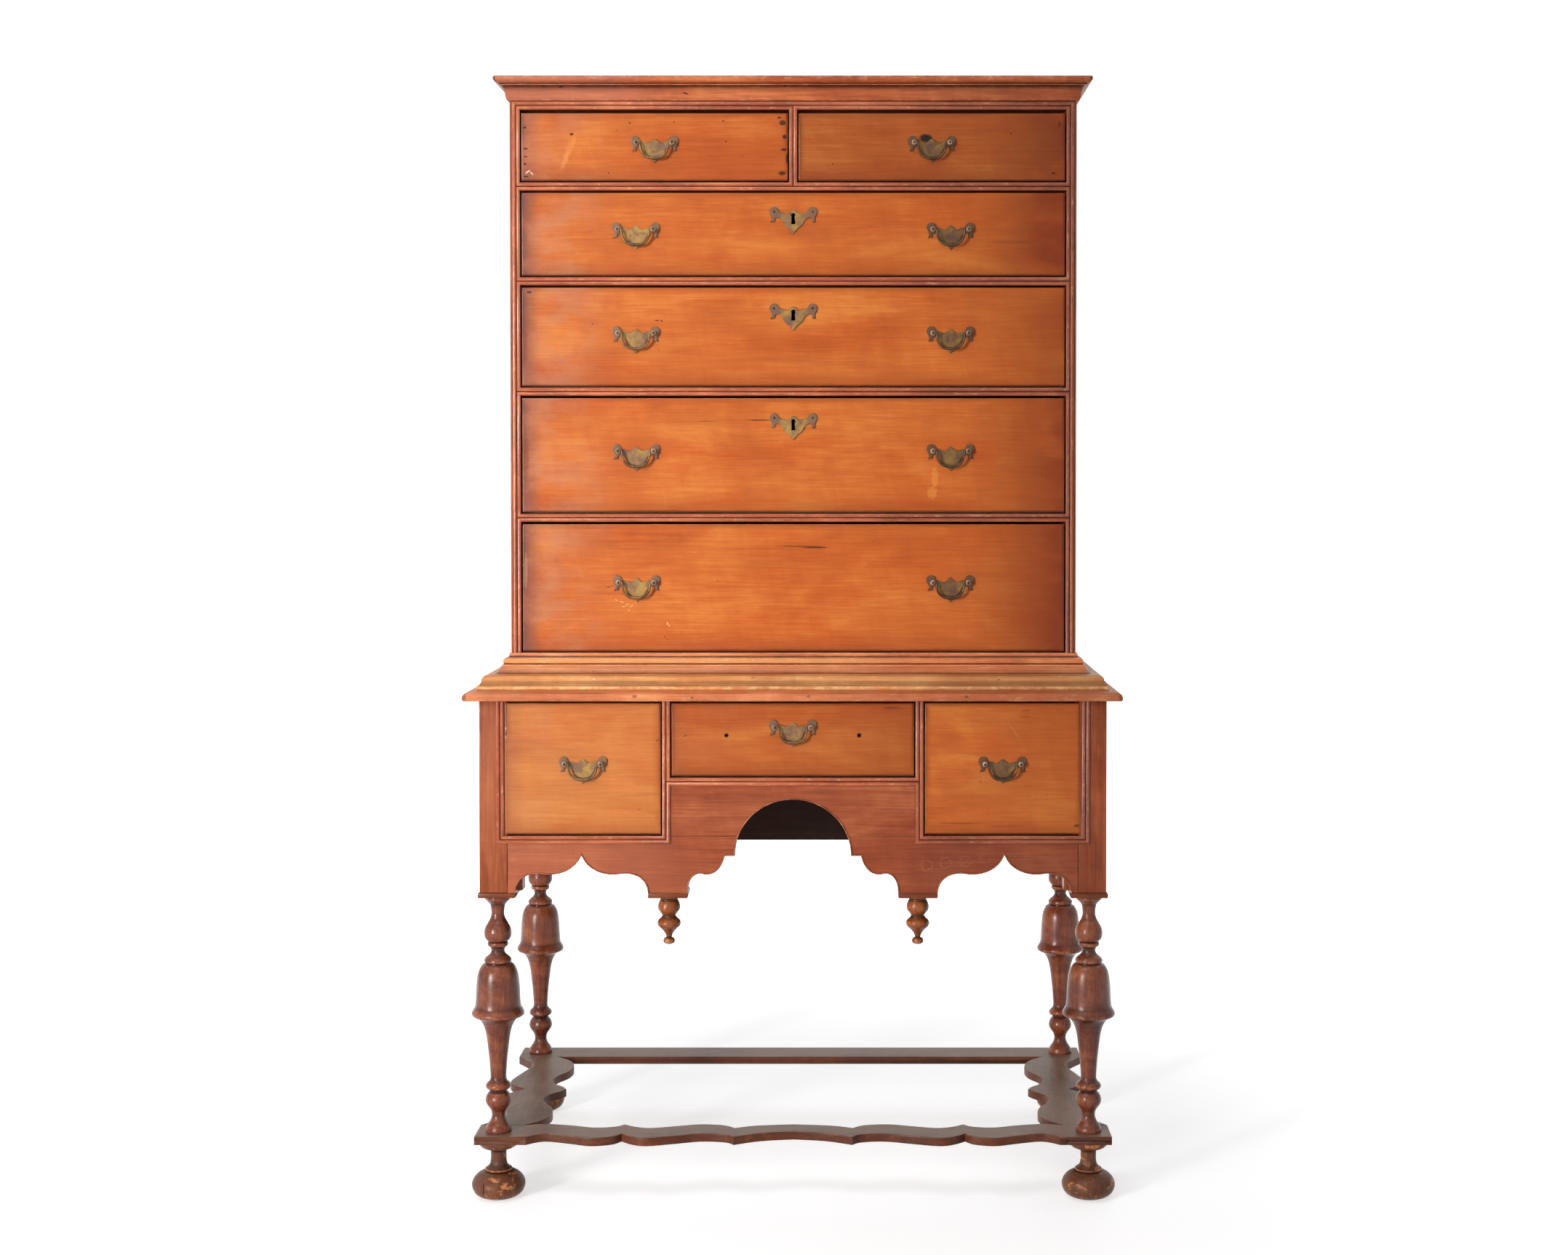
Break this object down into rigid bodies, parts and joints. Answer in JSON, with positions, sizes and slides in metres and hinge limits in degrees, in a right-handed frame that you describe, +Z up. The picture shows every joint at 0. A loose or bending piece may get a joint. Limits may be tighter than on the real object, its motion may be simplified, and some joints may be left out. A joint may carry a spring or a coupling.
{
  "type": "highboy",
  "caption": "High chest of drawers in two cases on turned legs, with shaped stretchers, a scalloped apron and brass bail handles.",
  "frame": {"origin": "on the floor, under the middle of the whole piece", "axes": "+Z up, the drawers face -Y, +X to the viewer's right"},
  "size_m": [0.9888, 0.5548, 1.7],
  "materials": {
    "front_wood": "orange-brown polished maple, worn satin",
    "frame_wood": "red-brown stained maple, worn satin",
    "side_wood": "red-brown stained boards, worn satin",
    "turned_wood": "dark red-brown stained turnings, glossy",
    "stretcher_wood": "grey-brown worn boards",
    "moulding_wood": "golden olive-brown moulding, satin",
    "pendant_wood": "golden-brown turnings, satin",
    "back_wood": "dark aged secondary wood, unfinished",
    "brass": "aged brass, dulled"
  },
  "bodies": {
    "case": {"leg_front_left": "turned_wood", "leg_front_right": "turned_wood", "leg_rear_left": "turned_wood", "leg_rear_right": "turned_wood", "foot_front_left": "turned_wood", "foot_front_right": "turned_wood", "foot_rear_left": "turned_wood", "foot_rear_right": "turned_wood", "stretcher_front": "stretcher_wood", "stretcher_rear": "stretcher_wood", "stretcher_left": "stretcher_wood", "stretcher_right": "stretcher_wood", "pendant_left": "pendant_wood", "pendant_right": "pendant_wood", "base_front": "frame_wood", "base_back": "back_wood", "base_side_left": "side_wood", "base_side_right": "side_wood", "base_top": "moulding_wood", "waist_moulding": "moulding_wood", "upper_frame": "frame_wood", "upper_side_left": "side_wood", "upper_side_right": "side_wood", "upper_back": "back_wood", "cornice": "frame_wood"},
    "drawer_long_4": {"drawer_long_4": "front_wood", "plate_long_4_left": "brass", "plate_long_4_right": "brass"},
    "bail_long_4_left": {"bail_long_4_left": "brass"},
    "bail_long_4_right": {"bail_long_4_right": "brass"},
    "drawer_long_3": {"drawer_long_3": "front_wood", "plate_long_3_left": "brass", "plate_long_3_right": "brass"},
    "bail_long_3_left": {"bail_long_3_left": "brass"},
    "bail_long_3_right": {"bail_long_3_right": "brass"},
    "drawer_long_2": {"drawer_long_2": "front_wood", "plate_long_2_left": "brass", "plate_long_2_right": "brass"},
    "bail_long_2_left": {"bail_long_2_left": "brass"},
    "bail_long_2_right": {"bail_long_2_right": "brass"},
    "drawer_long_1": {"drawer_long_1": "front_wood", "plate_long_1_left": "brass", "plate_long_1_right": "brass"},
    "bail_long_1_left": {"bail_long_1_left": "brass"},
    "bail_long_1_right": {"bail_long_1_right": "brass"},
    "drawer_short_left": {"drawer_short_left": "front_wood", "plate_short_left": "brass"},
    "bail_short_left": {"bail_short_left": "brass"},
    "drawer_short_right": {"drawer_short_right": "front_wood", "plate_short_right": "brass"},
    "bail_short_right": {"bail_short_right": "brass"},
    "drawer_lower_left": {"drawer_lower_left": "front_wood", "plate_lower_left": "brass"},
    "bail_lower_left": {"bail_lower_left": "brass"},
    "drawer_lower_right": {"drawer_lower_right": "front_wood", "plate_lower_right": "brass"},
    "bail_lower_right": {"bail_lower_right": "brass"},
    "drawer_lower_centre": {"drawer_lower_centre": "front_wood", "plate_lower_centre": "brass"},
    "bail_lower_centre": {"bail_lower_centre": "brass"}
  },
  "joints": [
    {"name": "slide_long_4", "type": "slide", "parent": "case", "child": "drawer_long_4", "axis": [0, -1, 0], "range_m": [0, 0.34]},
    {"name": "hinge_long_4_left", "type": "hinge", "parent": "drawer_long_4", "child": "bail_long_4_left", "pos_m": [-0.239, -0.21675, 0.93521], "axis": [-1, 0, 0], "range_deg": [0, 150]},
    {"name": "hinge_long_4_right", "type": "hinge", "parent": "drawer_long_4", "child": "bail_long_4_right", "pos_m": [0.239, -0.21675, 0.93521], "axis": [-1, 0, 0], "range_deg": [0, 150]},
    {"name": "slide_long_3", "type": "slide", "parent": "case", "child": "drawer_long_3", "axis": [0, -1, 0], "range_m": [0, 0.34]},
    {"name": "hinge_long_3_left", "type": "hinge", "parent": "drawer_long_3", "child": "bail_long_3_left", "pos_m": [-0.239, -0.21675, 1.135], "axis": [-1, 0, 0], "range_deg": [0, 150]},
    {"name": "hinge_long_3_right", "type": "hinge", "parent": "drawer_long_3", "child": "bail_long_3_right", "pos_m": [0.239, -0.21675, 1.135], "axis": [-1, 0, 0], "range_deg": [0, 150]},
    {"name": "slide_long_2", "type": "slide", "parent": "case", "child": "drawer_long_2", "axis": [0, -1, 0], "range_m": [0, 0.34]},
    {"name": "hinge_long_2_left", "type": "hinge", "parent": "drawer_long_2", "child": "bail_long_2_left", "pos_m": [-0.239, -0.21675, 1.31367], "axis": [-1, 0, 0], "range_deg": [0, 150]},
    {"name": "hinge_long_2_right", "type": "hinge", "parent": "drawer_long_2", "child": "bail_long_2_right", "pos_m": [0.239, -0.21675, 1.31367], "axis": [-1, 0, 0], "range_deg": [0, 150]},
    {"name": "slide_long_1", "type": "slide", "parent": "case", "child": "drawer_long_1", "axis": [0, -1, 0], "range_m": [0, 0.34]},
    {"name": "hinge_long_1_left", "type": "hinge", "parent": "drawer_long_1", "child": "bail_long_1_left", "pos_m": [-0.239, -0.21675, 1.47069], "axis": [-1, 0, 0], "range_deg": [0, 150]},
    {"name": "hinge_long_1_right", "type": "hinge", "parent": "drawer_long_1", "child": "bail_long_1_right", "pos_m": [0.239, -0.21675, 1.47069], "axis": [-1, 0, 0], "range_deg": [0, 150]},
    {"name": "slide_short_left", "type": "slide", "parent": "case", "child": "drawer_short_left", "axis": [0, -1, 0], "range_m": [0, 0.34]},
    {"name": "hinge_short_left", "type": "hinge", "parent": "drawer_short_left", "child": "bail_short_left", "pos_m": [-0.2103, -0.21675, 1.60158], "axis": [-1, 0, 0], "range_deg": [0, 150]},
    {"name": "slide_short_right", "type": "slide", "parent": "case", "child": "drawer_short_right", "axis": [0, -1, 0], "range_m": [0, 0.34]},
    {"name": "hinge_short_right", "type": "hinge", "parent": "drawer_short_right", "child": "bail_short_right", "pos_m": [0.2103, -0.21675, 1.60158], "axis": [-1, 0, 0], "range_deg": [0, 150]},
    {"name": "slide_lower_left", "type": "slide", "parent": "case", "child": "drawer_lower_left", "axis": [0, -1, 0], "range_m": [0, 0.36]},
    {"name": "hinge_lower_left", "type": "hinge", "parent": "drawer_lower_left", "child": "bail_lower_left", "pos_m": [-0.31615, -0.26075, 0.66415], "axis": [-1, 0, 0], "range_deg": [0, 150]},
    {"name": "slide_lower_right", "type": "slide", "parent": "case", "child": "drawer_lower_right", "axis": [0, -1, 0], "range_m": [0, 0.36]},
    {"name": "hinge_lower_right", "type": "hinge", "parent": "drawer_lower_right", "child": "bail_lower_right", "pos_m": [0.31615, -0.26075, 0.66415], "axis": [-1, 0, 0], "range_deg": [0, 150]},
    {"name": "slide_lower_centre", "type": "slide", "parent": "case", "child": "drawer_lower_centre", "axis": [0, -1, 0], "range_m": [0, 0.36]},
    {"name": "hinge_lower_centre", "type": "hinge", "parent": "drawer_lower_centre", "child": "bail_lower_centre", "pos_m": [0, -0.26075, 0.71964], "axis": [-1, 0, 0], "range_deg": [0, 150]}
  ]
}
